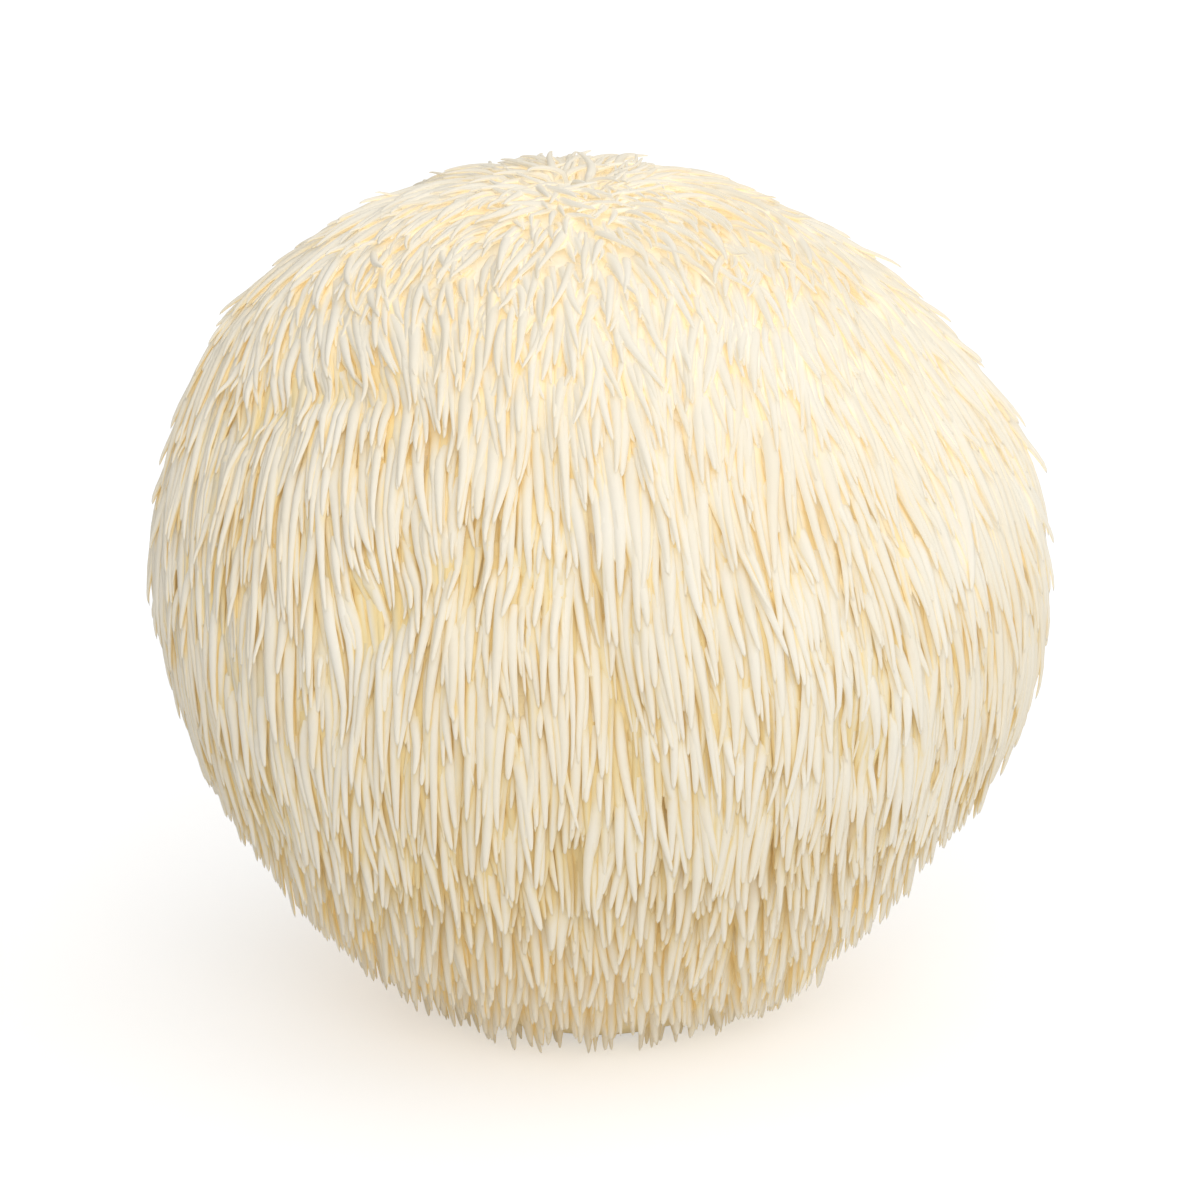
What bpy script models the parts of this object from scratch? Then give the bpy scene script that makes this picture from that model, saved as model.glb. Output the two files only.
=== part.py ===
"""Lion's mane mushroom: one rounded fruiting body, cut off flat where it grew.

Units are metres, +Z is up and the picture side faces -Y. The origin is the
middle of the bounding box at the height of the flat cut, so the body rests on
the plane z = 0. The surface modelled here is the one that the tips of the
hanging spines reach.
"""

import bmesh
import bpy
from math import cos, exp, radians, sin
from mathutils import Vector

# ---------------------------------------------------------------- dimensions
WIDTH = 0.130  # across the body, left to right
CORE_HEIGHT = 0.0612  # middle of the body above the flat cut
BASE_RADIUS = 0.0612  # radius of the round form between its lobes
DEPTH_SHARE = 0.965  # front to back, as a share of left to right
CAGE_CUTS = 10  # cuts along each edge of the starting cube
SMOOTH_LEVELS = 1  # levels of Subdivision Surface on the cage

# Lobes: azimuth and elevation of the middle in degrees (azimuth 0 is +X, -90
# the front), swelling as a share of the radius, and spread in degrees.
LOBES = (
    (3, 10, 0.086, 20),  # right flank
    (162, 26, 0.068, 21),  # upper left shoulder
    (-168, -34, -0.018, 18),  # hollow of the lower left flank
    (-96, -80, 0.084, 19),  # underside, round the cut
    (96, 78, 0.034, 21),  # crown
    (-62, 8, 0.034, 25),  # full front, right of the middle
    (-102, -32, 0.036, 15),  # front lobe under the ledge
    (-130, 6, 0.024, 13),  # front left
    (-46, -52, 0.030, 16),  # lower right
    (74, 12, 0.042, 25),  # back right
    (118, -24, 0.036, 20),  # back left, low
    (126, 40, 0.030, 18),  # back left, high
    (44, -38, 0.024, 15),  # back right, low
)

# Folds between the lobes: a line through points given as azimuth and
# elevation, its depth as a share of the radius, and its half width in degrees.
FOLDS = (
    (((-88, 6), (-83, -14), (-82, -42)), 0.032, 5.5),
    (((-50, -16), (-43, -34)), 0.018, 6),
    (((92, 40), (98, 8), (84, -22)), 0.028, 6.5),
    (((146, 8), (160, -26)), 0.020, 6.5),
)


def direction(azimuth, elevation):
    """Unit vector of an azimuth and an elevation in degrees."""
    a, e = radians(azimuth), radians(elevation)
    return Vector((cos(e) * cos(a), cos(e) * sin(a), sin(e)))


def bell(angle, spread):
    """Smooth hump: 1 in the middle, 0.6 at one spread."""
    return exp(-0.5 * (angle / spread) ** 2)


def fold_angle(d, line):
    """Angle in radians from a direction to the nearest point of a fold."""
    nearest = 4.0
    for start, end in zip(line, line[1:]):
        a, b = direction(*start), direction(*end)
        for step in range(9):
            nearest = min(nearest, d.angle(a.lerp(b, step / 8).normalized()))
    return nearest


def radius(d):
    """Distance from the middle of the body to its surface along d."""
    share = 1.0
    for azimuth, elevation, swelling, spread in LOBES:
        share += swelling * bell(d.angle(direction(azimuth, elevation)), radians(spread))
    for line, depth, half_width in FOLDS:
        share -= depth * bell(fold_angle(d, line), radians(half_width))
    return BASE_RADIUS * share


# --------------------------------------------------------------------- scene
for leftover in list(bpy.data.objects):
    bpy.data.objects.remove(leftover, do_unlink=True)

parts = bpy.data.collections.new("lions_mane_mushroom")
cutters = bpy.data.collections.new("cutters")
bpy.context.scene.collection.children.link(parts)
bpy.context.scene.collection.children.link(cutters)

flesh = bpy.data.materials.new("cream_spines")
flesh.use_nodes = True
shader = flesh.node_tree.nodes["Principled BSDF"]
shader.inputs["Base Color"].default_value = (0.90, 0.82, 0.62, 1.0)
shader.inputs["Roughness"].default_value = 0.62
shader.inputs["Metallic"].default_value = 0.0

# ------------------------------------------------------------- fruiting body
# A cube with an even grid on its faces is the cage: each point goes out to the
# lobed form, and Subdivision Surface rounds it.
form = bmesh.new()
bmesh.ops.create_cube(form, size=2.0)
bmesh.ops.subdivide_edges(form, edges=form.edges[:], cuts=CAGE_CUTS, use_grid_fill=True)
for vert in form.verts:
    # equal angles along the grid, so that the faces come out alike in size
    even = Vector([sin(c * radians(45)) / cos(c * radians(45)) for c in vert.co])
    d = even.normalized()
    point = d * radius(d)
    point.y *= DEPTH_SHARE
    vert.co = point
mesh = bpy.data.meshes.new("fruiting_body")
form.to_mesh(mesh)
form.free()

body = bpy.data.objects.new("fruiting_body", mesh)
body.data.materials.append(flesh)
parts.objects.link(body)
smooth = body.modifiers.new("round_off", "SUBSURF")
smooth.levels = SMOOTH_LEVELS
smooth.render_levels = SMOOTH_LEVELS

# The rounded form's own size sets the scale to WIDTH and the place over the
# origin.
graph = bpy.context.evaluated_depsgraph_get()
rounded = [v.co.copy() for v in body.evaluated_get(graph).data.vertices]
low = [min(co[i] for co in rounded) for i in range(3)]
high = [max(co[i] for co in rounded) for i in range(3)]
scale = WIDTH / (high[0] - low[0])
for vert in body.data.vertices:
    vert.co.x = (vert.co.x - (low[0] + high[0]) / 2) * scale
    vert.co.y = (vert.co.y - (low[1] + high[1]) / 2) * scale
    vert.co.z = vert.co.z * scale
body.location = (0.0, 0.0, CORE_HEIGHT)

# ------------------------------------------------------------------ flat cut
# Everything under the plane z = 0 comes off, where the body was cut from the
# wood that it grew on.
form = bmesh.new()
bmesh.ops.create_cube(form, size=1.0)
block = bpy.data.meshes.new("growth_side_block")
form.to_mesh(block)
form.free()
cutter = bpy.data.objects.new("growth_side_block", block)
cutter.scale = (2 * WIDTH, 2 * WIDTH, CORE_HEIGHT)
cutter.location = (0.0, 0.0, -CORE_HEIGHT / 2)
cutter.hide_render = True
cutter.display_type = "WIRE"
cutters.objects.link(cutter)

cut = body.modifiers.new("cut_from_wood", "BOOLEAN")
cut.operation = "DIFFERENCE"
cut.solver = "EXACT"
cut.object = cutter

body.data.shade_smooth()
body.data.set_sharp_from_angle(angle=radians(40))
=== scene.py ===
"""Lion's mane mushroom: the looks of the fruiting body.

The solid of the frame is the outer form that the spine tips reach. It is
replaced by the flesh under the spines, with the flat cut that the body rests
on, and by the spines themselves, which grow out of the flesh, turn down along
it and overlap from the crown to the cut.
"""

from math import cos, pi, radians, sin, sqrt

import bpy
import numpy as np
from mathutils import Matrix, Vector
from mathutils.bvhtree import BVHTree


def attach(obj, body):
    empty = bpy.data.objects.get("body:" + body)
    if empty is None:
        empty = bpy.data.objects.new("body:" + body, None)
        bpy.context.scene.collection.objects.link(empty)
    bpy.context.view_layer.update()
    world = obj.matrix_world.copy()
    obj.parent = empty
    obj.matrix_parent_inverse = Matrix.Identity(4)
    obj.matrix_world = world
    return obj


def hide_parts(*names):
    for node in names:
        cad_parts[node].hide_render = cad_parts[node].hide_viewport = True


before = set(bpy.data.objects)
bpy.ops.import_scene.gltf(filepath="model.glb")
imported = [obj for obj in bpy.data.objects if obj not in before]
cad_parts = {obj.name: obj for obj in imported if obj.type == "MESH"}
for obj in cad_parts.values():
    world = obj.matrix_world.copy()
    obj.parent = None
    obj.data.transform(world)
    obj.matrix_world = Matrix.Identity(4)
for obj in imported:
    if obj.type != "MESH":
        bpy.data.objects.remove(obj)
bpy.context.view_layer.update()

MM = 0.001
RNG = np.random.default_rng(20117)

# ------------------------------------------------------------------ dimensions
MIDDLE = np.array([0.0, 0.0, 0.0612])  # the point that the form is measured from
VIEW_ELEVATION = 18.0  # the picture's height above level, in degrees
VIEW_DISTANCE = 1.0
WHORL = np.array([-0.035, -0.045, 1.0])  # the way up to the whorl of the crown

SPINES = 16200  # spines in all
SHARES = (0.27, 0.44, 0.29)  # of them in the outer, inner and under coats
GROUPS = (4, 3, 1)  # meshes that each coat is joined in
THICKNESS = 1.88 * MM  # a spine at its widest
LENGTH = 24.0 * MM  # a spine of the flank along its own curve
PILE = 2.6 * MM  # depth of the spines over the flesh on the flank
HANG = 4.4 * MM  # more depth than that, round the underside
SOFTNESS = 0.30  # how far the normals of a spine lean out of the body

WHORL = WHORL / np.linalg.norm(WHORL)
E = radians(VIEW_ELEVATION)
SCREEN_UP = np.array([0.0, sin(E), cos(E)])
TOWARDS = np.array([0.0, -cos(E), sin(E)])
PAINTED_LIGHT_WAY = np.array([0.35, 0.25, 0.90])  # painted light: the crown and right shoulder, on the lit side, get the least painted shade and the most painted glow
PAINTED_LIGHT_WAY = PAINTED_LIGHT_WAY / np.linalg.norm(PAINTED_LIGHT_WAY)
PAINTED_SHADE_SIDE = np.array([-0.22, -0.40, -0.89])  # painted shade: the lower left, on the side away from the light, is more golden
PAINTED_SHADE_SIDE = PAINTED_SHADE_SIDE / np.linalg.norm(PAINTED_SHADE_SIDE)


# --------------------------------------------------------------------- helpers
def unit(v):
    return v / np.maximum(np.linalg.norm(v, axis=-1, keepdims=True), 1e-12)


def dot(a, b):
    return (a * b).sum(axis=-1, keepdims=True)


def smooth(x, low, high):
    t = np.clip((x - low) / (high - low), 0.0, 1.0)
    return t * t * (3.0 - 2.0 * t)


def waves(count, low, high, seed):
    """A smooth field over the ball: a sum of waves of lengths from low to high
    metres, scaled to about -1 to 1."""
    r = np.random.default_rng(seed)
    way = unit(r.normal(size=(count, 3)))
    size = 2 * pi / r.uniform(low, high, count)
    phase = r.uniform(0, 2 * pi, count)

    def field(p):
        total = np.zeros(len(p))
        for k in range(count):
            total += np.sin(p @ way[k] * size[k] + phase[k])
        return total / sqrt(count / 2) / 1.6

    return field


# -------------------------------------------------------------------- the form
# The frame's solid, read along rays from its middle, is the form that the tips
# reach. Below the cut the rays are carried on as if it had not been cut.
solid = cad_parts["fruiting_body"]
tree = BVHTree.FromPolygons(
    [v.co.copy() for v in solid.data.vertices],
    [tuple(p.vertices) for p in solid.data.polygons],
)
AZ, EL = 240, 121
form = np.zeros((EL, AZ))
for i in range(EL):
    e = -pi / 2 + pi * i / (EL - 1)
    for j in range(AZ):
        a = 2 * pi * j / AZ
        way = Vector((cos(e) * cos(a), cos(e) * sin(a), sin(e)))
        hit = tree.ray_cast(Vector(MIDDLE), way)
        if hit[0] is not None and hit[0].z > 0.0002:
            form[i, j] = (hit[0] - Vector(MIDDLE)).length
for i in range(EL - 2, -1, -1):  # the rows under the cut take the ones above
    gap = form[i] == 0
    form[i, gap] = form[i + 1, gap]
for _ in range(2):  # a little smoothing takes the solid's facets away
    wrapped = np.concatenate([form[:, -1:], form, form[:, :1]], axis=1)
    form = 0.5 * form + 0.25 * (wrapped[:, :-2] + wrapped[:, 2:])
    form[1:-1] = 0.5 * form[1:-1] + 0.25 * (form[:-2] + form[2:])


def form_reach(d):
    """Distance from the middle to the form along unit vectors d."""
    e = (np.arcsin(np.clip(d[:, 2], -1, 1)) + pi / 2) / pi * (EL - 1)
    a = (np.arctan2(d[:, 1], d[:, 0]) % (2 * pi)) / (2 * pi) * AZ
    i = np.clip(np.floor(e).astype(int), 0, EL - 2)
    j = np.floor(a).astype(int) % AZ
    f, g = e - i, a - np.floor(a)
    k = (j + 1) % AZ
    return (
        form[i, j] * (1 - f) * (1 - g)
        + form[i + 1, j] * f * (1 - g)
        + form[i, k] * (1 - f) * g
        + form[i + 1, k] * f * g
    )


# Creases of the coat on the picture side: points in the disc that the body is
# seen as (right and up, its edge at 1), depth, half width, and whether the
# spines over the crease end there.
CREASES = (
    (
        ((-0.49, -0.09), (-0.40, 0.02), (-0.29, 0.06), (-0.16, 0.04), (-0.07, -0.03),
         (-0.01, -0.15), (0.04, -0.31), (0.07, -0.45)),
        2.1, 3.0, True,
    ),
    (((-0.78, 0.38), (-0.66, 0.44), (-0.54, 0.45), (-0.42, 0.42), (-0.36, 0.35)), 1.7, 3.0, True),
    (((-0.15, 0.30), (-0.09, 0.14), (-0.02, 0.01), (0.05, -0.12), (0.09, -0.29)), 1.8, 3.6, False),
    (((-0.44, 0.10), (-0.50, -0.04), (-0.55, -0.15), (-0.57, -0.28)), 1.7, 2.6, False),
    (((0.56, -0.30), (0.60, -0.36), (0.62, -0.42)), 2.0, 2.4, False),
    (((0.30, 0.30), (0.40, 0.16), (0.46, 0.00)), 1.0, 3.2, False),
    (((-0.06, -0.62), (-0.05, -0.68)), 1.8, 2.2, False),
)  # fmt: skip


# Where the coat stands out past the solid, or in from it: the place in the same
# disc, how far in millimetres, and how wide.
SWELLS = (
    (0.98, -0.19, 1.3, 15), (0.90, -0.43, 0.8, 12), (-0.98, -0.20, -0.6, 8), (-0.95, 0.32, -0.8, 9),
    (0.55, 0.84, 0.6, 16), (0.92, 0.38, 0.7, 14), (0.20, -0.97, -0.5, 9), (-0.26, -0.18, 1.0, 9), (-0.62, 0.22, 0.8, 9),
)  # fmt: skip


def on_view(x, y):
    """The way from the middle to a point of the disc that the body is seen as."""
    depth = sqrt(max(1 - x * x - y * y, 0.0))
    return np.array([x, 0.0, 0.0]) + y * SCREEN_UP + depth * TOWARDS


def crossing(d, line):
    """Distance in metres from unit vectors d to a line over the body, and the
    side of it that they lie on, 1 or -1."""
    nearest, sign = np.full(len(d), 9.0), np.ones(len(d))
    for start, end in zip(line, line[1:]):
        a, b = on_view(*start), on_view(*end)
        t = np.clip(((d - a) @ (b - a)) / ((b - a) @ (b - a)), 0, 1)[:, None]
        away = np.linalg.norm(d - (a + t * (b - a)), axis=1) * 0.063
        closer = away < nearest
        nearest = np.where(closer, away, nearest)
        sign = np.where(closer, np.sign(d @ np.cross(a, b)), sign)
    return nearest, sign


def dips(d):
    """Depth of the creases along unit vectors d."""
    depths = np.zeros(len(d))
    for line, depth, half_width, _ in CREASES:
        away, _ = crossing(d, line)
        depths += depth * MM * np.exp(-((away / (half_width * MM)) ** 2))
    return depths


def reach(d):
    """Distance from the middle to the tips of the spines along unit vectors d:
    the form, less the creases."""
    distance = form_reach(d) - dips(d)
    for x, y, amount, wide in SWELLS:
        away = np.linalg.norm(d - unit(on_view(x, y)), axis=1) * 63 / wide
        distance = distance + amount * MM * np.exp(-(away**2))
    return distance


lumps = waves(9, 34 * MM, 60 * MM, 5)
tufts = waves(14, 11 * MM, 20 * MM, 6)


def pile(d):
    """Depth of the spines over the flesh along unit vectors d."""
    depth = PILE * (0.86 + 0.14 * smooth(1 - d @ WHORL, 0.02, 0.55))
    depth = depth + HANG * smooth(-d[:, 2], 0.10, 0.62) + 0.9 * MM * smooth(d @ WHORL, 0.90, 0.98)
    return 1.8 * MM + (depth - 1.8 * MM) * (1 - smooth(-d[:, 2], 0.78, 0.92))


def flesh_reach(d):
    p = d * 0.06
    return reach(d) - pile(d) + 0.25 * MM * lumps(p) + 0.1 * MM * tufts(p)


def normals(d, distance):
    """Outward normals of a form given by its distance function."""
    a = unit(np.cross(d, np.where(np.abs(d[:, 2:]) < 0.9, [[0, 0, 1.0]], [[1.0, 0, 0]])))
    b = np.cross(d, a)
    step = 0.03
    at = {}
    for name, way in (("a", a), ("b", b)):
        lo, hi = unit(d - way * step), unit(d + way * step)
        at[name] = hi * distance(hi)[:, None] - lo * distance(lo)[:, None]
    n = np.cross(at["a"], at["b"])
    return unit(n * np.sign(dot(n, d)))


# -------------------------------------------------------------------- the flow
def flow(d, n):
    """Unit tangents down the body: the way that the spines are combed."""
    t = unit(-WHORL + dot(n, WHORL) * n)
    x = d[:, 0]
    y = d @ SCREEN_UP
    turn = np.radians(combed(x, y, d @ TOWARDS))[:, None]
    return unit(np.cos(turn) * t + np.sin(turn) * np.cross(n, t))


def combed(x, y, front):
    """Turn of the flow in degrees, to the right where it is above 0: round the
    front the spines of both shoulders draw in towards the middle."""
    left = smooth(-x, 0.10, 0.60) * (22 * smooth(y, -0.25, 0.10) + 28 * smooth(y, 0.25, 0.62))
    right = smooth(x, 0.02, 0.50) * (
        12 * smooth(y, 0.10, 0.35) + 30 * smooth(y, 0.35, 0.65) + 14 * smooth(y, 0.62, 0.80)
    )
    right += 14 * np.exp(-(((x - 0.14) / 0.10) ** 2) - ((y - 0.05) / 0.13) ** 2)
    # the lobe under the front crease spreads out both ways from its top
    left = left + 11 * np.exp(-(((x + 0.08) / 0.11) ** 2) - ((y + 0.18) / 0.18) ** 2)
    right += 9 * np.exp(-(((x + 0.42) / 0.10) ** 2) - ((y + 0.14) / 0.16) ** 2)
    return (left - right) * smooth(front, -0.35, 0.2)


# ------------------------------------------------------------------ the spines
# Roots: an even spiral round the whorl, closer on the crown, with every root
# moved a little from its place.
golden = pi * (1 + sqrt(5))
levels = np.linspace(1, -1, 4001)
crowding = 1.0 + 1.15 * smooth(levels, 0.50, 0.90) + 2.2 * smooth(levels, 0.965, 0.992) + 0.30 * smooth(-levels, 0.35, 0.80)
share = np.concatenate([[0], np.cumsum((crowding[1:] + crowding[:-1]) / 2)])
index = np.arange(SPINES) + 0.5
height = np.interp(index / SPINES, share / share[-1], levels)
east = unit(np.cross(WHORL, [0.0, 1.0, 0.0]))
north = np.cross(WHORL, east)
across = np.sqrt(1 - height**2)[:, None]
root = (
    height[:, None] * WHORL
    + across * np.cos(golden * index)[:, None] * east
    + across * np.sin(golden * index)[:, None] * north
)
spacing = np.sqrt(4 * pi / SPINES / np.interp(-height, -levels, crowding) * crowding.mean())
root = unit(root + RNG.normal(size=root.shape) * (0.27 * spacing)[:, None])
place = MIDDLE + root * flesh_reach(root)[:, None]
root = root[place[:, 2] > 1.9 * MM]
count = len(root)
root = root[RNG.permutation(count)]

# Tufts: each spine belongs to the nearest of many tuft middles. It shares that
# tuft's lean, lift and length, and its tip draws in to the tuft.
TUFTS = 1150
k = np.arange(TUFTS) + 0.5
z = 1 - 2 * k / TUFTS
tuft = np.stack(
    [np.cos(golden * k) * np.sqrt(1 - z**2), np.sin(golden * k) * np.sqrt(1 - z**2), z],
    axis=1,
)
tuft = unit(tuft + RNG.normal(scale=0.35 * sqrt(4 * pi / TUFTS), size=tuft.shape))
owner = np.argmax(root @ tuft.T, axis=1)
tuft_lean = RNG.normal(scale=2.8, size=TUFTS)
tuft_lift = RNG.uniform(-1, 1, size=TUFTS)
tuft_size = RNG.normal(scale=0.07, size=TUFTS)

up = root @ WHORL
flank = smooth(1 - up, 0.0, 0.45)
coat_of = RNG.choice(3, size=count, p=SHARES)
outer, lowest = coat_of == 0, coat_of == 2
length = LENGTH * (0.48 + 0.52 * flank) * (1 - 0.35 * smooth(up, 0.95, 0.99))
length *= 1 + tuft_size[owner] + RNG.normal(scale=0.16, size=count)
under = np.where(  # depth of its tip under the form
    outer,
    np.clip(0.36 - 0.30 * tuft_lift[owner] + RNG.normal(scale=0.18, size=count), 0.0, 1.1),
    np.clip(1.00 - 0.16 * tuft_lift[owner] + RNG.normal(scale=0.20, size=count), 0.4, 1.6),
)
under = np.where(lowest, 1.35 + RNG.normal(scale=0.12, size=count), under)
under = (under + np.array([0.0, 1.4, 2.4])[coat_of] * smooth(-root[:, 2], 0.10, 0.50)) * MM
matted = smooth(up, 0.70, 0.96)  # the crown isn't combed as smoothly as the rest
lean = np.where(lowest, 0.3, 1.0) * tuft_lean[owner] + RNG.normal(scale=2.2, size=count) * (1 + 4.0 * matted)
lean += RNG.normal(scale=42.0, size=count) * smooth(up, 0.975, 0.997)
bow = RNG.normal(scale=4.2, size=count) * (1 + 1.6 * matted)
sway = RNG.normal(scale=3.0, size=count)
sway_start = RNG.uniform(0, 2 * pi, size=count)
flare = RNG.normal(scale=0.42, size=count) + 0.42 * tuft_lift[owner] + 0.05 * matted
stray = (RNG.random(count) < 0.08) * smooth(up, 0.0, 0.5) * (1 - smooth(up, 0.90, 0.97))
flare += 0.8 * stray  # stray tips over the shoulders
flare = np.clip(flare, 0.0, 1.6) * MM * outer * (1 - 0.7 * smooth(up, 0.93, 0.98))
beyond = np.clip(RNG.normal(scale=0.24, size=count), -0.8, 0.5) * MM
beyond += 1.2 * MM * smooth(-root[:, 2], 0.00, 0.45)
width = THICKNESS * np.clip(1 + RNG.normal(scale=0.14, size=count), 0.66, 1.40)
width *= np.array([1.0, 1.05, 1.25])[coat_of] * (0.84 + 0.16 * flank)
width *= 1 + 0.10 * smooth(-root[:, 2], 0.10, 0.50)
overhang = RNG.uniform(0.5, 6.5, size=count) * MM
ledges = []  # spines rooted close over a ledge pass it, the others end there
for line, _, _, ends in CREASES:
    if ends:
        away, from_side = crossing(root, line)
        ledges.append((line, from_side, outer & (away > 6.5 * MM)))

first_normal = normals(root, form_reach)
first_side = np.cross(first_normal, flow(root, first_normal))
drawn = (dot(tuft[owner] - root, first_side)[:, 0] * 0.06 * 0.45) / length
lean = np.radians(lean) + drawn * ~lowest

at = np.array([0.0, 0.06, 0.14, 0.25, 0.38, 0.52, 0.66, 0.79, 0.90, 0.965, 1.0])

lean_field = waves(10, 26 * MM, 50 * MM, 11)
DOWN = np.array([0.0, 0.0, -1.0])


def grow(length):
    """Every spine's middle line as points (count, len(at), 3), the way out of
    the body at each, and how far each is past the spine's own limit."""
    d = root.copy()
    here = MIDDLE + d * (flesh_reach(d) - 0.9 * MM)[:, None]
    n = normals(d, form_reach)
    points, outs, over = [here], [n], [np.full(count, -1.0)]
    for s in range(1, len(at)):
        t = flow(d, n)
        turn = lean + np.radians(bow) * (at[s] - 0.5) * 2 + np.radians(3.5) * lean_field(d * 0.06)
        turn = turn + np.radians(sway) * np.sin(2 * pi * at[s] + sway_start)
        aside = np.cross(n, t)
        hang = smooth(-d[:, 2], 0.05, 0.60)[:, None]
        way = unit((1 - 0.78 * hang) * t + 0.78 * hang * DOWN + np.tan(turn)[:, None] * aside)
        # near its root a spine stands out more than it runs along
        part = 0.40 + 0.60 * smooth(at[s], 0.0, 0.30)
        moved = here + way * (length * (at[s] - at[s - 1]) * part)[:, None]
        d = unit(moved - MIDDLE)
        distance = np.linalg.norm(moved - MIDDLE, axis=1)
        base, top = flesh_reach(d), reach(d)
        # it comes up from under its neighbours and lies over them with its tip
        drape = 1.9 * (1 - at[s]) ** 1.6 + 1.4 * np.exp(-12 * at[s])
        thin = np.minimum((top - base) / PILE, 1.0)
        lain = top - (under + drape * MM) * thin + flare * smooth(at[s], 0.55, 1.0)
        free = smooth(-d[:, 2], 0.12, 0.50)
        low = base + (top - base) * 0.25 * at[s] ** 0.5 - 0.9 * MM * max(0.0, 1 - at[s] * 5)
        distance = (1 - free) * lain + free * np.maximum(distance, low)
        here = MIDDLE + d * distance[:, None]
        n = normals(d, form_reach)
        points.append(here)
        outs.append(n)
        limit = top - under + beyond + flare
        ended = np.maximum(distance - limit, 0.45 * MM - here[:, 2])
        for line, from_side, stopped in ledges:
            away, now = crossing(d, line)
            crossed = stopped & (now != from_side) & (away < 7 * MM)
            ended = np.where(crossed, np.maximum(ended, away - overhang), ended)
        over.append(ended)
    return np.stack(points, axis=1), np.stack(outs, axis=1), np.stack(over, axis=1)


path, outward, past = grow(length)
for _ in range(5):  # spines that would pass the form or the cut end there
    passed = past > 0.02 * MM
    if not passed.any():
        break
    first = np.argmax(passed, axis=1)
    rows = np.arange(count)
    after, before = past[rows, first], past[rows, np.maximum(first - 1, 0)]
    ratio = np.clip(before / np.minimum(before - after, -1e-9), 0.0, 1.0)
    until = at[np.maximum(first - 1, 0)] + ratio * (at[first] - at[np.maximum(first - 1, 0)])
    length = np.where(passed.any(axis=1), length * np.clip(until, 0.3, 0.985), length)
    path, outward, past = grow(length)
shortest = np.where(root[:, 2] < -0.80, 1.6, np.where(root[:, 2] < -0.35, 3.0, 6.0)) * MM
keep = (path[:, :, 2].min(axis=1) > 0.3 * MM) & (length > shortest)
path, outward = path[keep], outward[keep]
width, length, owner_kept, coat_of = width[keep], length[keep], owner[keep], coat_of[keep]
count = len(path)

# Sections: a flattened circle that swells out of the flesh, keeps its width and
# narrows to a blunt point. The undercoat has fewer of them, with fewer sides.
along = unit(np.gradient(path, axis=1))
side = unit(np.cross(along, outward))
over = np.cross(side, along)
swell = 0.82 + 0.18 * smooth(at, 0.0, 0.18)
taper = 1 - 0.73 * np.clip((at - 0.22) / 0.78, 0, 1) ** 1.45
wobble = 1 + 0.04 * np.sin(at[None, :] * RNG.uniform(6, 16, (count, 1)) + RNG.uniform(0, 6.3, (count, 1)))
profile = (swell * taper)[None, :] * wobble
profile[:, -2] *= 0.82
short = np.clip(length / (11 * MM), 0.55, 1.0)
half = (width * short)[:, None] / 2 * profile
shade = np.clip(0.5 + RNG.normal(scale=0.22, size=count) + 0.12 * tuft_lift[owner_kept], 0, 1)


def painted_light(points):
    """Painted light: 1 on the crown and the right shoulder, the lit side, where
    the gaps get little painted shade and more painted glow, to 0 on the rest."""
    return smooth(unit(points - MIDDLE) @ PAINTED_LIGHT_WAY, -0.15, 0.80)


def tubes(members, sides, rings):
    """Points, faces, outward ways and map of spines as closed tubes along the given
    rings; the faces and the map are those of the first spine."""
    n, sections = len(members), len(rings)
    turn = np.arange(sides) / sides * 2 * pi
    out = (
        side[members][:, rings, None, :] * np.cos(turn)[None, None, :, None]
        + 0.68 * over[members][:, rings, None, :] * np.sin(turn)[None, None, :, None]
    )
    tube = path[members][:, rings, None, :] + half[members][:, rings, None, None] * out
    co = np.concatenate([tube.reshape(n, -1, 3), path[members][:, -1:], path[members][:, :1]], axis=1)
    quads, ends, uv = [], [], []
    v = at[rings] * 0.80 + 0.08
    for r in range(sections - 1):
        for k in range(sides):
            u = (k + 1) % sides
            quads.append((r * sides + u, r * sides + k, (r + 1) * sides + k, (r + 1) * sides + u))
            a, b = k / sides, (k + 1) / sides
            uv += [(b, v[r]), (a, v[r]), (a, v[r + 1]), (b, v[r + 1])]
    last = (sections - 1) * sides
    for k in range(sides):
        u, a, b, c = (k + 1) % sides, k / sides, (k + 1) / sides, (k + 0.5) / sides
        ends.append((last + u, last + k, sections * sides))
        uv += [(b, v[-1]), (a, v[-1]), (c, 0.98)]
    for k in range(sides):
        u, a, b, c = (k + 1) % sides, k / sides, (k + 1) / sides, (k + 0.5) / sides
        ends.append((k, u, sections * sides + 1))
        uv += [(a, v[0]), (b, v[0]), (c, 0.02)]
    first = (np.arange(n) * co.shape[1])[:, None, None]
    q = (np.array(quads)[None] + first).reshape(-1, 4)
    t = (np.array(ends)[None] + first).reshape(-1, 3)
    return {
        "members": members, "sides": sides, "rings": rings, "turn": turn, "co": co,
        "out": unit(out), "quads": q, "ends": t, "uv": np.array(uv), "quads_each": len(quads),
    }  # fmt: skip


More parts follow.
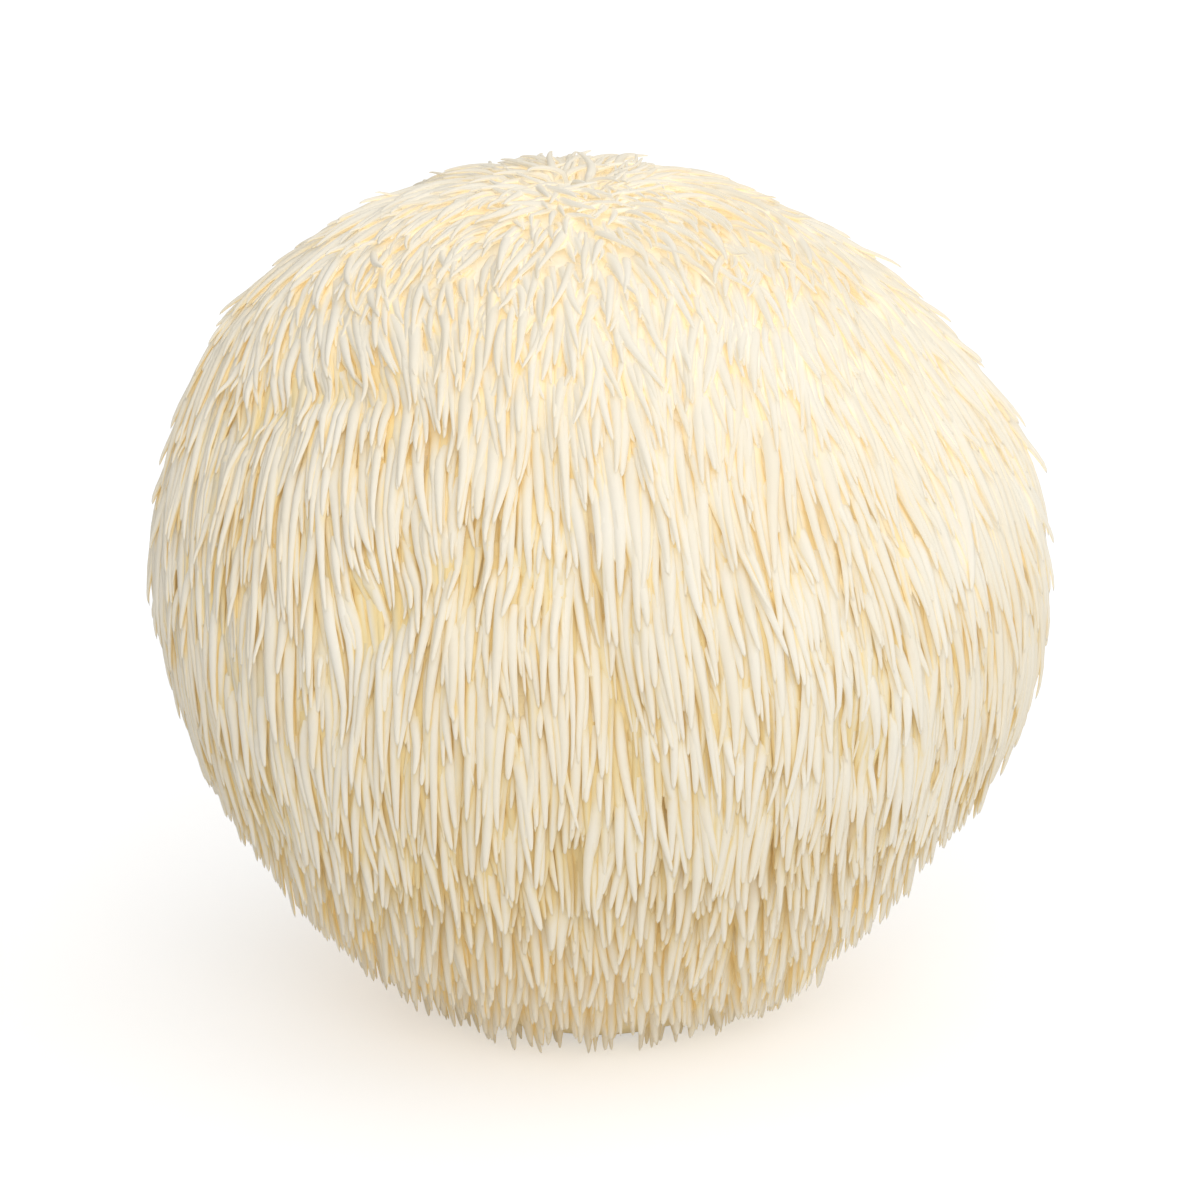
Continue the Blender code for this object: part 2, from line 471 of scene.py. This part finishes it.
def shut_in(tree, tube, rays):
    """How closed in each point of the tubes is by the spines over and beside it,
    from 0 in the open to 1: the mask of the painted shade and the painted glow."""
    members, sides, rings = tube["members"], tube["sides"], tube["rings"]
    n, sections = len(members), len(rings)
    value = np.ones((n, sections, sides))
    for k, angle in enumerate(tube["turn"]):
        if sin(angle) < -0.01:
            continue  # the side that faces the flesh
        out = tube["out"][:, :, k]
        here = tube["co"][:, : sections * sides].reshape(n, sections, sides, 3)[:, :, k]
        way, run = outward[members][:, rings], along[members][:, rings]
        total = np.zeros((n, sections))
        for a, b, c in rays:
            ray = unit(a * way + b * out + c * run).reshape(-1, 3)
            start = (here + 0.05 * MM * out + 0.04 * MM * way).reshape(-1, 3)
            far = [
                tree.ray_cast(Vector(o), Vector(r), 3 * MM)[3] or 3 * MM for o, r in zip(start, ray)
            ]
            total += (1 - np.array(far).reshape(n, sections) / (3 * MM)) ** 0.7
        value[:, :, k] = total / len(rays)
    even = value.copy()
    even[:, 1:-1] = 0.5 * value[:, 1:-1] + 0.25 * (value[:, :-2] + value[:, 2:])
    even[:, -1] = 0.6 * value[:, -1] + 0.4 * value[:, -2]
    tip = even[:, -1, : sides // 2 + 1].mean(axis=1)
    return np.concatenate([even.reshape(n, -1), tip[:, None], np.ones((n, 1))], axis=1)


def joined(name, tube, painted_glow):
    """One mesh of many spines."""
    members, sides, rings, co = tube["members"], tube["sides"], tube["rings"], tube["co"]
    n, per, sections = *co.shape[:2], len(rings)
    q, t = tube["quads"], tube["ends"]
    mesh = bpy.data.meshes.new(name)
    mesh.vertices.add(n * per)
    mesh.vertices.foreach_set("co", co.astype(np.float32).ravel())
    loops = np.concatenate([q.ravel(), t.ravel()]).astype(np.int32)
    mesh.loops.add(len(loops))
    mesh.loops.foreach_set("vertex_index", loops)
    sizes = np.concatenate([np.full(len(q), 4), np.full(len(t), 3)])
    mesh.polygons.add(len(sizes))
    starts = np.concatenate([[0], np.cumsum(sizes)[:-1]]).astype(np.int32)
    mesh.polygons.foreach_set("loop_start", starts)
    mesh.update(calc_edges=True)
    mesh.polygons.foreach_set("use_smooth", np.ones(len(sizes), bool))
    # Light spreads inside a spine, so that it shades more softly than its form:
    # its normals lean a little to the way out of the body.
    way = outward[members][:, rings, None, :]
    soft = unit((1 - SOFTNESS) * tube["out"] + SOFTNESS * way).reshape(n, -1, 3)
    tips = [unit(along[members][:, -1] + way[:, -1, 0]), -along[members][:, 0]]
    soft = np.concatenate([soft, tips[0][:, None], tips[1][:, None]], axis=1)
    mesh.normals_split_custom_set_from_vertices(soft.reshape(-1, 3).tolist())

    # Map: a grid of cells, one for each spine, with a margin round it.
    columns = 20
    cell = np.array([1 / columns, 1 / np.ceil(n / columns)])
    corner = np.stack([np.arange(n) % columns, np.arange(n) // columns], axis=1) * cell
    split = tube["quads_each"] * 4
    own = tube["uv"] * 0.92 + 0.04
    placed = [
        (corner[:, None, :] + part[None] * cell).reshape(-1, 2) for part in (own[:split], own[split:])
    ]
    mesh.uv_layers.new(name="OFBake").data.foreach_set(
        "uv", np.concatenate(placed).astype(np.float32).ravel()
    )

    # Values for the material: how far along its spine each point is, how strong
    # the painted glow and the painted shade are there, and each spine's own tone.
    grown = np.concatenate([np.repeat(at[rings], sides), [1.0, 0.0]])[None]
    painted_light_share = painted_light(co.reshape(-1, 3)).reshape(n, per)
    # painted shade and painted glow on the sides of every spine
    flank = np.concatenate([np.tile(np.abs(np.cos(tube["turn"])) ** 3, sections), [0.0, 1.0]])[None]
    painted_glow = painted_glow + 0.20 * flank
    # painted shade: golden where a point is closed in, more for the deeper coats, less towards the tips
    painted_shade = painted_glow + tube["painted_shade"] - 0.12 * smooth(grown, 0.6, 1.0)
    # painted shade: more golden along the creases, by their depth
    painted_shade = painted_shade + 0.07 * dips(unit(co.reshape(-1, 3) - MIDDLE)).reshape(n, per) / MM
    # painted light: less painted shade on the lit side
    painted_shade = painted_shade * (1.02 - 0.50 * painted_light_share)
    # painted shade: more golden towards the lower left
    painted_shade = painted_shade + 0.33 * smooth(unit(co.reshape(-1, 3) - MIDDLE) @ PAINTED_SHADE_SIDE, 0.1, 0.95).reshape(n, per)
    # painted light: more painted glow on the lit side
    painted_glow = painted_glow * (0.70 + 0.42 * painted_light_share)
    # painted glow: stronger towards the bottom of the body
    painted_glow = painted_glow + 0.36 * smooth(MIDDLE[2] - co[:, :, 2], 16 * MM, 56 * MM)
    for label, value in (
        ("grown", np.repeat(grown, n, axis=0).ravel()),
        ("painted_glow", painted_glow.ravel()),
        ("painted_shade", painted_shade.ravel()),
        ("shade", np.repeat(shade[members], per)),
    ):
        mesh.attributes.new(label, "FLOAT", "POINT").data.foreach_set("value", value.astype(np.float32))
    obj = bpy.data.objects.new(name, mesh)
    bpy.context.scene.collection.objects.link(obj)
    return obj


# Each coat is joined by the side of the body that its spines grow on.
azimuth = np.arctan2(path[:, 0, 1], path[:, 0, 0])


def coat(name, members, groups, sides, rings):
    members = members[np.argsort(azimuth[members], kind="stable")]
    return {
        "%s_%d" % (name, g + 1): tubes(part, sides, rings)
        for g, part in enumerate(np.array_split(members, groups))
    }


KINDS = (  # name, sides, rings, rays to look for gaps along, and more painted shade
    ("outer_spines", 8, (0, 2, 3, 4, 5, 6, 7, 8, 9), ((1, 0.25, 0), (0.6, 0.8, 0), (0.6, 0.5, 0.7), (0.6, 0.5, -0.7)), 0.0),
    ("inner_spines", 5, (0, 3, 5, 7, 9), ((1, 0.25, 0), (0.6, 0.8, 0)), 0.05),
    ("under_spines", 5, (0, 5, 9), ((1, 0, 0),), 0.15),
)  # fmt: skip
coats, rays = {}, {}
for kind, (name, sides, rings, ways, more) in enumerate(KINDS):
    for key, tube in coat(name, np.flatnonzero(coat_of == kind), GROUPS[kind], sides, np.array(rings)).items():
        coats[key], rays[key] = tube, ways
        tube["painted_shade"] = more
points, faces = [], []
for tube in coats.values():
    offset = sum(len(p) for p in points)
    points.append(tube["co"].reshape(-1, 3))
    faces += (tube["quads"] + offset).tolist() + (tube["ends"] + offset).tolist()
every = BVHTree.FromPolygons(np.concatenate(points).tolist(), faces)
pieces = [joined(name, tube, shut_in(every, tube, rays[name])) for name, tube in coats.items()]

# ------------------------------------------------------------------- the flesh
# A round form under the spines. Its rows crowd at the rim of the cut, and the
# rows past the rim lie in the plane that it rests on.
SEGMENTS, ROWS = 120, 92
rim = np.arcsin(-0.925)


def flesh_mesh():
    co, faces = [], []
    levels = np.concatenate(
        [np.linspace(pi / 2, rim, ROWS - 18)[1:], np.linspace(rim, -pi / 2, 19)[1:-1]]
    )
    azimuths = np.arange(SEGMENTS) / SEGMENTS * 2 * pi
    rings = []
    for e in levels:
        d = np.stack(
            [np.cos(e) * np.cos(azimuths), np.cos(e) * np.sin(azimuths), np.full(SEGMENTS, np.sin(e))],
            axis=1,
        )
        distance = flesh_reach(d)
        with np.errstate(divide="ignore"):
            floor = np.where(d[:, 2] < 0, -MIDDLE[2] / np.minimum(d[:, 2], -1e-9), 1e9)
        distance = np.minimum(distance, floor)
        rings.append(MIDDLE + d * distance[:, None])
    top = MIDDLE + np.array([0, 0, 1.0]) * flesh_reach(np.array([[0, 0, 1.0]]))[0]
    co = np.concatenate([[top], *rings, [[0.0, 0.0, 0.0]]])
    co[:, 2] = np.maximum(co[:, 2], 0.0)
    for s in range(SEGMENTS):
        faces.append((0, 1 + s, 1 + (s + 1) % SEGMENTS))
    for r in range(len(levels) - 1):
        a, b = 1 + r * SEGMENTS, 1 + (r + 1) * SEGMENTS
        for s in range(SEGMENTS):
            u = (s + 1) % SEGMENTS
            faces.append((a + s, b + s, b + u, a + u))
    a, end = 1 + (len(levels) - 1) * SEGMENTS, len(co) - 1
    for s in range(SEGMENTS):
        faces.append((a + s, end, a + (s + 1) % SEGMENTS))
    mesh = bpy.data.meshes.new("flesh")
    mesh.from_pydata([tuple(c) for c in co], [], faces)
    mesh.update()
    # painted shade: the flesh is a deeper gold everywhere but on the lit side
    mesh.attributes.new("painted_shade", "FLOAT", "POINT").data.foreach_set("value", (1 - 0.7 * painted_light(co)).astype(np.float32))
    mesh.polygons.foreach_set("use_smooth", np.ones(len(mesh.polygons), bool))
    obj = bpy.data.objects.new("flesh", mesh)
    bpy.context.scene.collection.objects.link(obj)
    return obj


flesh = flesh_mesh()


# ------------------------------------------------------------------- materials
def nodes_of(name):
    m = bpy.data.materials.new(name)
    m.use_nodes = True
    return m, m.node_tree.nodes, m.node_tree.links, m.node_tree.nodes["Principled BSDF"]


def ramp(nodes, stops):
    r = nodes.new("ShaderNodeValToRGB")
    while len(r.color_ramp.elements) > 1:
        r.color_ramp.elements.remove(r.color_ramp.elements[-1])
    r.color_ramp.elements[0].position = stops[0][0]
    r.color_ramp.elements[0].color = (*stops[0][1], 1)
    for position, colour in stops[1:]:
        e = r.color_ramp.elements.new(position)
        e.color = (*colour, 1)
    return r


def mixed(nodes, links, mode, factor, a, b):
    m = nodes.new("ShaderNodeMix")
    m.data_type = "RGBA"
    m.blend_type = mode
    for socket, value in ((m.inputs[0], factor), (m.inputs[6], a), (m.inputs[7], b)):
        if hasattr(value, "is_output"):
            links.new(value, socket)
        elif isinstance(value, tuple):
            socket.default_value = (*value, 1)
        else:
            socket.default_value = value
    return m.outputs[2]


def spine_material():
    m, nodes, links, bsdf = nodes_of("spine_ivory")
    grown = nodes.new("ShaderNodeAttribute")
    grown.attribute_name = "grown"
    painted_shade_input = nodes.new("ShaderNodeAttribute")
    painted_shade_input.attribute_name = "painted_shade"
    shade_at = nodes.new("ShaderNodeAttribute")
    shade_at.attribute_name = "shade"
    coords = nodes.new("ShaderNodeTexCoord")

    # painted shade: the colour goes from ivory to a darker gold as the painted shade grows
    body = ramp(
        nodes,
        [
            (0.18, (0.975, 0.925, 0.81)),
            (0.38, (0.97, 0.90, 0.75)),
            (0.58, (0.95, 0.85, 0.635)),
            (0.82, (0.90, 0.765, 0.48)),
            (1.0, (0.85, 0.69, 0.37)),
        ],
    )
    links.new(painted_shade_input.outputs["Fac"], body.inputs[0])
    own = ramp(nodes, [(0.0, (0.98, 0.96, 0.92)), (1.0, (1.0, 1.0, 1.0))])
    links.new(shade_at.outputs["Fac"], own.inputs[0])
    colour = mixed(nodes, links, "MULTIPLY", 1.0, body.outputs[0], own.outputs[0])

    patch = nodes.new("ShaderNodeTexNoise")
    patch.inputs["Scale"].default_value = 38.0
    patch.inputs["Detail"].default_value = 3.0
    links.new(coords.outputs["Object"], patch.inputs["Vector"])
    patch_tone = ramp(nodes, [(0.35, (0.98, 0.95, 0.89)), (0.65, (1.0, 1.0, 1.0))])
    links.new(patch.outputs["Fac"], patch_tone.inputs[0])
    colour = mixed(nodes, links, "MULTIPLY", 0.8, colour, patch_tone.outputs[0])
    links.new(colour, bsdf.inputs["Base Color"])

    fibre = nodes.new("ShaderNodeTexNoise")
    fibre.inputs["Scale"].default_value = 900.0
    fibre.inputs["Detail"].default_value = 2.0
    squeeze = nodes.new("ShaderNodeMapping")
    squeeze.inputs["Scale"].default_value = (1.0, 1.0, 0.22)
    links.new(coords.outputs["Object"], squeeze.inputs["Vector"])
    links.new(squeeze.outputs[0], fibre.inputs["Vector"])
    bump = nodes.new("ShaderNodeBump")
    bump.inputs["Strength"].default_value = 0.18
    bump.inputs["Distance"].default_value = 0.0003
    links.new(fibre.outputs["Fac"], bump.inputs["Height"])
    links.new(bump.outputs[0], bsdf.inputs["Normal"])
    rough = nodes.new("ShaderNodeMapRange")
    rough.inputs["To Min"].default_value = 0.48
    rough.inputs["To Max"].default_value = 0.66
    links.new(fibre.outputs["Fac"], rough.inputs["Value"])
    links.new(rough.outputs[0], bsdf.inputs["Roughness"])
    # painted glow: emission in the gaps where the spines close each other in, standing in for light that passes inside
    # them
    painted_glow_strength = nodes.new("ShaderNodeMapRange")
    painted_glow_strength.inputs["From Min"].default_value = 0.35
    painted_glow_strength.inputs["From Max"].default_value = 1.45
    painted_glow_strength.inputs["To Max"].default_value = 0.36
    painted_glow = nodes.new("ShaderNodeAttribute")
    painted_glow.attribute_name = "painted_glow"
    links.new(painted_glow.outputs["Fac"], painted_glow_strength.inputs["Value"])
    links.new(painted_glow_strength.outputs[0], bsdf.inputs["Emission Strength"])
    links.new(colour, bsdf.inputs["Emission Color"])
    bsdf.inputs["IOR"].default_value = 1.38
    bsdf.inputs["Specular IOR Level"].default_value = 0.35
    m.cycles.emission_sampling = "NONE"
    return m


def flesh_material():
    m, nodes, links, bsdf = nodes_of("flesh_cream")
    coords = nodes.new("ShaderNodeTexCoord")
    split = nodes.new("ShaderNodeSeparateXYZ")
    links.new(coords.outputs["Object"], split.inputs[0])
    on_cut = nodes.new("ShaderNodeMath")
    on_cut.operation = "LESS_THAN"
    on_cut.inputs[1].default_value = 0.0004
    links.new(split.outputs["Z"], on_cut.inputs[0])

    pores = nodes.new("ShaderNodeTexVoronoi")
    pores.inputs["Scale"].default_value = 520.0
    links.new(coords.outputs["Object"], pores.inputs["Vector"])
    pore_tone = ramp(nodes, [(0.0, (0.74, 0.60, 0.38)), (0.35, (0.90, 0.82, 0.64)), (1.0, (0.94, 0.89, 0.76))])
    links.new(pores.outputs["Distance"], pore_tone.inputs[0])
    cloud = nodes.new("ShaderNodeTexNoise")
    cloud.inputs["Scale"].default_value = 120.0
    cloud.inputs["Detail"].default_value = 5.0
    links.new(coords.outputs["Object"], cloud.inputs["Vector"])
    cloud_tone = ramp(nodes, [(0.3, (0.88, 0.80, 0.66)), (0.7, (1.0, 1.0, 1.0))])
    links.new(cloud.outputs["Fac"], cloud_tone.inputs[0])
    cut_colour = mixed(nodes, links, "MULTIPLY", 1.0, pore_tone.outputs[0], cloud_tone.outputs[0])
    # painted shade: the flesh under the spines goes to a darker gold where its painted shade is high
    painted_shade_tone = ramp(nodes, [(0.3, (0.84, 0.70, 0.42)), (0.7, (0.89, 0.77, 0.50))])
    links.new(cloud.outputs["Fac"], painted_shade_tone.inputs[0])
    painted_shade_input = nodes.new("ShaderNodeAttribute")
    painted_shade_input.attribute_name = "painted_shade"
    depth = ramp(nodes, [(0.5, (0.0, 0.0, 0.0)), (0.9, (1.0, 1.0, 1.0))])
    links.new(painted_shade_input.outputs["Fac"], depth.inputs[0])
    under = mixed(nodes, links, "MIX", depth.outputs[0], (0.96, 0.90, 0.76), painted_shade_tone.outputs[0])
    colour = mixed(nodes, links, "MIX", on_cut.outputs[0], under, cut_colour)
    links.new(colour, bsdf.inputs["Base Color"])
    bump = nodes.new("ShaderNodeBump")
    bump.inputs["Strength"].default_value = 0.5
    bump.inputs["Distance"].default_value = 0.0005
    links.new(pores.outputs["Distance"], bump.inputs["Height"])
    links.new(bump.outputs[0], bsdf.inputs["Normal"])
    rough = nodes.new("ShaderNodeMapRange")
    rough.inputs["To Min"].default_value = 0.62
    rough.inputs["To Max"].default_value = 0.82
    links.new(cloud.outputs["Fac"], rough.inputs["Value"])
    links.new(rough.outputs[0], bsdf.inputs["Roughness"])
    links.new(colour, bsdf.inputs["Emission Color"])
    # painted glow: the flesh glows a little
    bsdf.inputs["Emission Strength"].default_value = 0.10
    m.cycles.emission_sampling = "NONE"
    return m


ivory = spine_material()
cream = flesh_material()
for piece in pieces:
    piece.data.materials.append(ivory)
flesh.data.materials.append(cream)

for piece in [flesh, *pieces]:
    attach(piece, "root")
    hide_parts("fruiting_body")

# ----------------------------------------------------------------------- stage
bpy.ops.mesh.primitive_circle_add(vertices=96, radius=4.0, fill_type="NGON", location=(0, 0, -0.0002))
floor = bpy.context.object
floor.name = "floor"
white, nodes, links, bsdf = nodes_of("studio_white")
bsdf.inputs["Base Color"].default_value = (0.75, 0.75, 0.75, 1)
bsdf.inputs["Roughness"].default_value = 0.9
bsdf.inputs["Specular IOR Level"].default_value = 0.1
bsdf.inputs["Emission Color"].default_value = (1, 1, 1, 1)
glow = nodes.new("ShaderNodeMapRange")  # white to look at, softer as a light
glow.inputs["To Max"].default_value = 0.44
links.new(nodes.new("ShaderNodeLightPath").outputs["Is Camera Ray"], glow.inputs["Value"])
links.new(glow.outputs[0], bsdf.inputs["Emission Strength"])
white.cycles.emission_sampling = "NONE"
floor.data.materials.append(white)

# The light comes softly from all round, most of it from the upper right front.
world = bpy.data.worlds.new("studio")
world.use_nodes = True
sky, wires = world.node_tree.nodes, world.node_tree.links
facing = sky.new("ShaderNodeVectorMath")
facing.operation = "DOT_PRODUCT"
facing.inputs[1].default_value = Vector((0.54, -0.45, 0.72)).normalized()
wires.new(sky.new("ShaderNodeTexCoord").outputs["Generated"], facing.inputs[0])
bright = sky.new("ShaderNodeMapRange")
bright.interpolation_type = "SMOOTHSTEP"
bright.inputs["From Min"].default_value = -0.6
bright.inputs["From Max"].default_value = 1.0
bright.inputs["To Min"].default_value = 0.18
bright.inputs["To Max"].default_value = 1.01
wires.new(facing.outputs["Value"], bright.inputs["Value"])
wires.new(bright.outputs[0], sky["Background"].inputs["Strength"])
sky["Background"].inputs["Color"].default_value = (1.0, 1.0, 1.0, 1)
bpy.context.scene.world = world


def lamp(name, place, aim, size, power, colour=(1, 1, 1)):
    data = bpy.data.lights.new(name, "AREA")
    data.shape = "DISK"
    data.size = size
    data.energy = power
    data.color = colour
    obj = bpy.data.objects.new(name, data)
    obj.location = place
    obj.rotation_euler = (Vector(aim) - Vector(place)).to_track_quat("-Z", "Y").to_euler()
    bpy.context.scene.collection.objects.link(obj)
    return obj


lamp("key", (0.12, -1.15, 0.70), (0, 0, 0.06), 0.9, 3.3, (1.0, 0.99, 0.97))
lamp("back", (-0.25, 1.30, 0.75), (0, 0, 0.06), 0.9, 2.0, (1.0, 0.99, 0.97))

# ---------------------------------------------------------------------- camera
# Framed as the picture is: the body, but for a few stray tips, spans 890 of
# 1200 pixels, in the middle.
aim = np.array([0.0, 0.0, 0.0632])
eye = aim + TOWARDS * VIEW_DISTANCE
seen = (path + half[:, :, None] * side).reshape(-1, 3) - aim
scale = VIEW_DISTANCE / (VIEW_DISTANCE - seen @ TOWARDS)
across, upward = seen[:, 0] * scale, (seen @ SCREEN_UP) * scale
left, right = np.quantile(across, (0.0003, 0.9997))
bottom, top = np.quantile(upward, (0.0003, 0.9997))
span = max(right - left, top - bottom)
pan = (right + left) / 2 * np.array([1.0, 0, 0]) + (top + bottom) / 2 * SCREEN_UP
camera_data = bpy.data.cameras.new("camera")
camera_data.sensor_width = 36.0
camera_data.lens = 36.0 * VIEW_DISTANCE / (span * 1200 / 890)
camera_data.clip_start = 0.05
camera_data.clip_end = 20.0
camera = bpy.data.objects.new("camera", camera_data)
camera.location = eye + pan
camera.rotation_euler = Vector(-TOWARDS).to_track_quat("-Z", "Y").to_euler()
bpy.context.scene.collection.objects.link(camera)
bpy.context.scene.camera = camera

bpy.context.scene.view_settings.view_transform = "Standard"
bpy.context.scene.view_settings.look = "None"

print("spines", count, np.bincount(coat_of).tolist(), [sum(len(q.vertices) - 2 for q in p.data.polygons) for p in [*pieces, flesh]])
